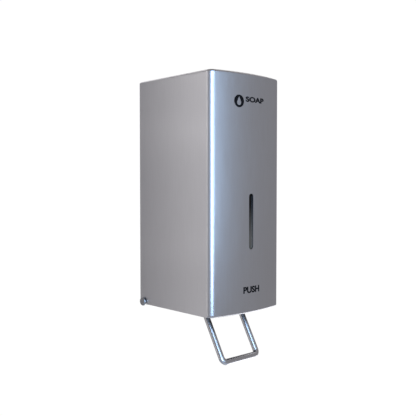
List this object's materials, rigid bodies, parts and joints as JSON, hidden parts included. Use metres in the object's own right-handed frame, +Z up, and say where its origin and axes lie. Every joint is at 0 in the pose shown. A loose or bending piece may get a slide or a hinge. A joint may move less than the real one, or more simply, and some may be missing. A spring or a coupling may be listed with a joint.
{
  "type": "wall mounted soap dispenser",
  "caption": "Tall liquid soap dispenser for a wall: curved brushed steel cover that tilts on two pins, sight slot, inner tank and lift pump, worked by a round rod push bail.",
  "frame": {"origin": "on the back plate's rear face, on its centre line, half-way up the cover", "axes": "+Z up, +Y into the wall, -Y out of the cover's curved front, +X to the right as seen by someone facing the cover"},
  "size_m": [0.1346, 0.1544, 0.3802],
  "materials": {
    "brushed_steel": "fine vertical brushed grain",
    "polished_steel": "polished stainless steel",
    "zinc_steel": "zinc plated, satin",
    "cast_zinc": "matt die-cast zinc",
    "plug_brass": "satin",
    "lock_chrome": "polished",
    "smoked_window": "smoked, smooth",
    "tank_plastic": "natural, slightly translucent, blow moulded",
    "white_plastic": "smooth moulding",
    "grey_plastic": "fine texture",
    "black_rubber": "matt"
  },
  "bodies": {
    "wall_unit": {"back_plate": "brushed_steel", "hinge_pin_left": "polished_steel", "hinge_pin_right": "polished_steel", "hinge_nut_left": "polished_steel", "hinge_nut_right": "polished_steel", "pump_shelf": "zinc_steel", "shelf_nut_1": "zinc_steel", "shelf_nut_2": "zinc_steel", "shelf_nut_3": "zinc_steel", "shelf_nut_4": "zinc_steel", "tank": "tank_plastic", "tank_clip": "zinc_steel", "clip_nut_left": "zinc_steel", "clip_nut_right": "zinc_steel", "lock_strike": "zinc_steel", "strike_nut_left": "zinc_steel", "strike_nut_right": "zinc_steel", "lid_pin": "polished_steel", "neck_seal": "black_rubber", "coupling_ring": "white_plastic", "pump_cylinder": "white_plastic", "inlet_valve": "black_rubber", "pivot_shaft": "polished_steel", "pivot_bush_left": "white_plastic", "pivot_bush_right": "white_plastic", "pivot_clip_left": "polished_steel", "pivot_clip_right": "polished_steel"},
    "cover": {"cover_shell": "brushed_steel", "sight_window": "smoked_window", "window_clip_top": "zinc_steel", "window_clip_bottom": "zinc_steel", "lock_body": "lock_chrome", "lock_nut": "zinc_steel"},
    "lock": {"lock_plug": "plug_brass", "lock_cam": "zinc_steel", "cam_screw": "zinc_steel"},
    "lever": {"lever_bail": "polished_steel", "lever_yoke": "cast_zinc", "leg_screw_left": "zinc_steel", "leg_screw_right": "zinc_steel"},
    "pump": {"piston_stem": "white_plastic", "piston_seal": "black_rubber", "nozzle": "white_plastic", "outlet_valve": "black_rubber", "pump_spring": "polished_steel"},
    "lid": {"tank_lid": "grey_plastic", "lid_seal": "black_rubber"}
  },
  "joints": [
    {"name": "cover_tilt", "type": "hinge", "parent": "wall_unit", "child": "cover", "pos_m": [0, -0.0085, -0.1516], "axis": [1, 0, 0], "range_deg": [0, 20]},
    {"name": "lock_turn", "type": "hinge", "parent": "cover", "child": "lock", "pos_m": [0, -0.03, 0.155], "axis": [0, 0, 1], "range_deg": [0, 90]},
    {"name": "lever_press", "type": "hinge", "parent": "wall_unit", "child": "lever", "pos_m": [0, -0.1, -0.135], "axis": [1, 0, 0], "range_deg": [0, 16], "stiffness_Nm_per_rad": 3, "springref_deg": -8.59},
    {"name": "pump_stroke", "type": "slide", "parent": "wall_unit", "child": "pump", "axis": [0, 0, 1], "range_m": [0, 0.0056], "deforming": ["pump_spring"]},
    {"name": "lid_open", "type": "hinge", "parent": "wall_unit", "child": "lid", "pos_m": [0, -0.041, 0.0702], "axis": [-1, 0, 0], "range_deg": [0, 95]}
  ],
  "couplings": [
    {"joint": "pump_stroke", "follows": "lever_press", "m_per_rad": 0.02}
  ]
}
